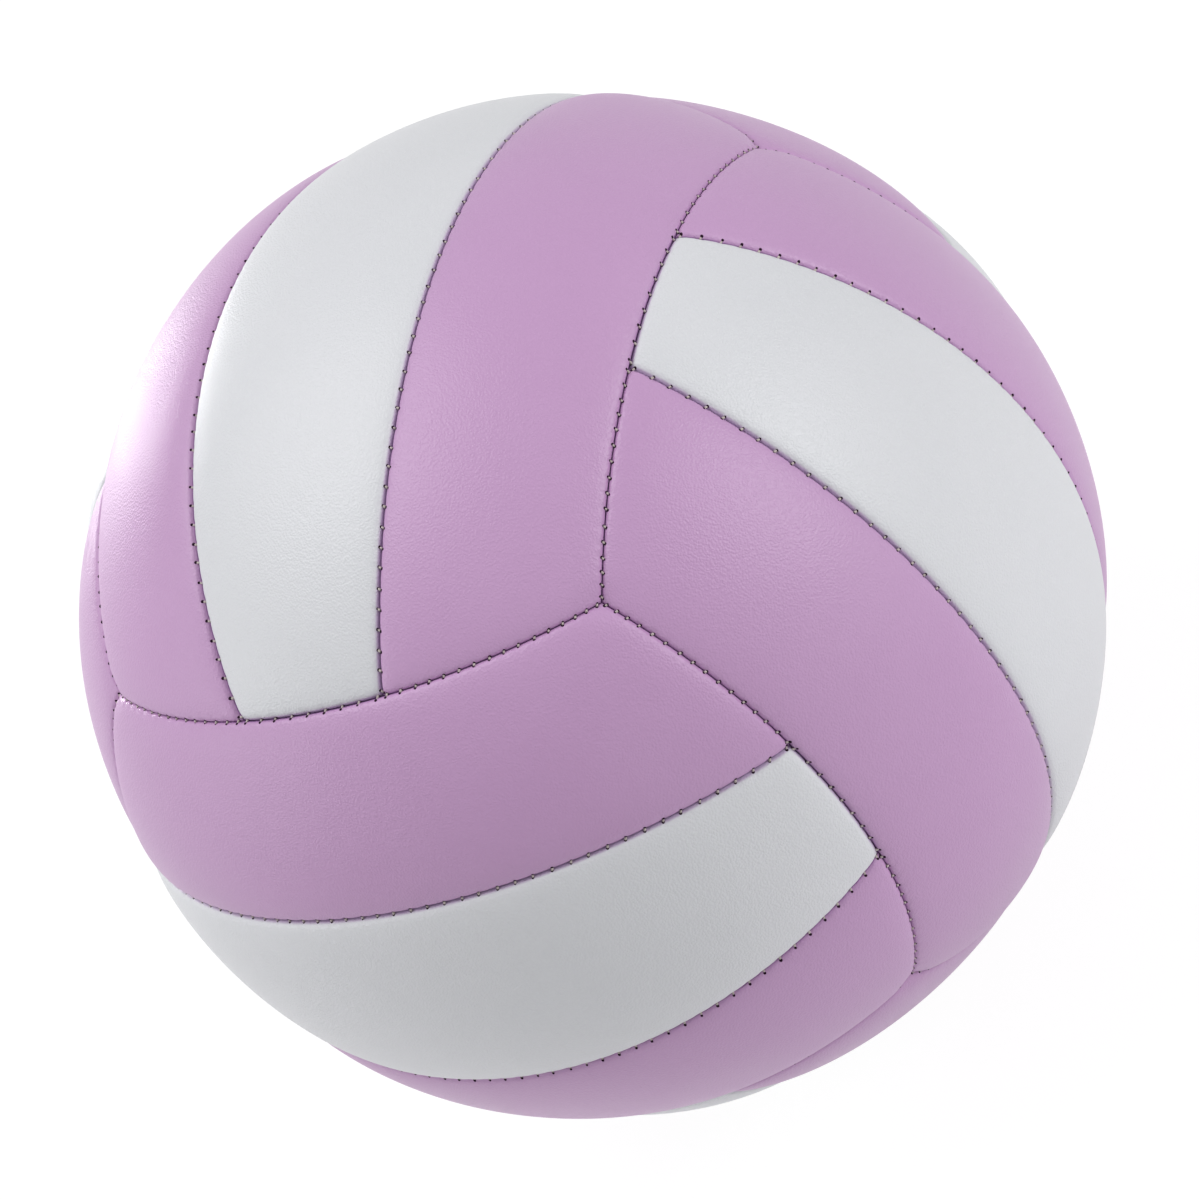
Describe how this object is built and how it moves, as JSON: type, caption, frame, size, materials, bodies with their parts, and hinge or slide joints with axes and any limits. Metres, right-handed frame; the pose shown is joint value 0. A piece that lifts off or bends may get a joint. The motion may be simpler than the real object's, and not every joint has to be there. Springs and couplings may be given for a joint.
{
  "type": "volleyball",
  "caption": "Soft sewn indoor volleyball in lilac and white, with padded panels in interlocking three-strip faces and a needle valve.",
  "frame": {"origin": "centre of the ball", "axes": "+Z through the middle of the top face, whose strips run along Y; +X through the right face, whose strips run along Z; +Y through the back face, whose strips run along X, and out of the valve"},
  "size_m": [0.21, 0.2099, 0.21],
  "materials": {
    "lilac_skin": "lilac synthetic leather, finely pebbled, satin",
    "white_skin": "white synthetic leather, finely pebbled, satin",
    "foam": "soft foam backing, matt",
    "lining": "woven cloth lining, matt",
    "thread": "twisted sewing thread, matt",
    "bladder_rubber": "butyl rubber, matt",
    "valve_rubber": "moulded rubber, matt"
  },
  "bodies": {
    "root": {"top_left_skin": "lilac_skin", "top_centre_skin": "white_skin", "top_right_skin": "lilac_skin", "top_left_foam": "foam", "top_centre_foam": "foam", "top_right_foam": "foam", "top_left_lining": "lining", "top_centre_lining": "lining", "top_right_lining": "lining", "bottom_left_skin": "lilac_skin", "bottom_centre_skin": "white_skin", "bottom_right_skin": "lilac_skin", "bottom_left_foam": "foam", "bottom_centre_foam": "foam", "bottom_right_foam": "foam", "bottom_left_lining": "lining", "bottom_centre_lining": "lining", "bottom_right_lining": "lining", "right_front_skin": "lilac_skin", "right_centre_skin": "white_skin", "right_back_skin": "lilac_skin", "right_front_foam": "foam", "right_centre_foam": "foam", "right_back_foam": "foam", "right_front_lining": "lining", "right_centre_lining": "lining", "right_back_lining": "lining", "left_front_skin": "lilac_skin", "left_centre_skin": "white_skin", "left_back_skin": "lilac_skin", "left_front_foam": "foam", "left_centre_foam": "foam", "left_back_foam": "foam", "left_front_lining": "lining", "left_centre_lining": "lining", "left_back_lining": "lining", "back_lower_skin": "lilac_skin", "back_centre_skin": "white_skin", "back_upper_skin": "lilac_skin", "back_lower_foam": "foam", "back_centre_foam": "foam", "back_upper_foam": "foam", "back_lower_lining": "lining", "back_centre_lining": "lining", "back_upper_lining": "lining", "front_lower_skin": "lilac_skin", "front_centre_skin": "white_skin", "front_upper_skin": "lilac_skin", "front_lower_foam": "foam", "front_centre_foam": "foam", "front_upper_foam": "foam", "front_lower_lining": "lining", "front_centre_lining": "lining", "front_upper_lining": "lining", "seam_thread": "thread", "bladder": "bladder_rubber", "valve_seat": "valve_rubber", "valve_core": "valve_rubber"}
  },
  "joints": []
}
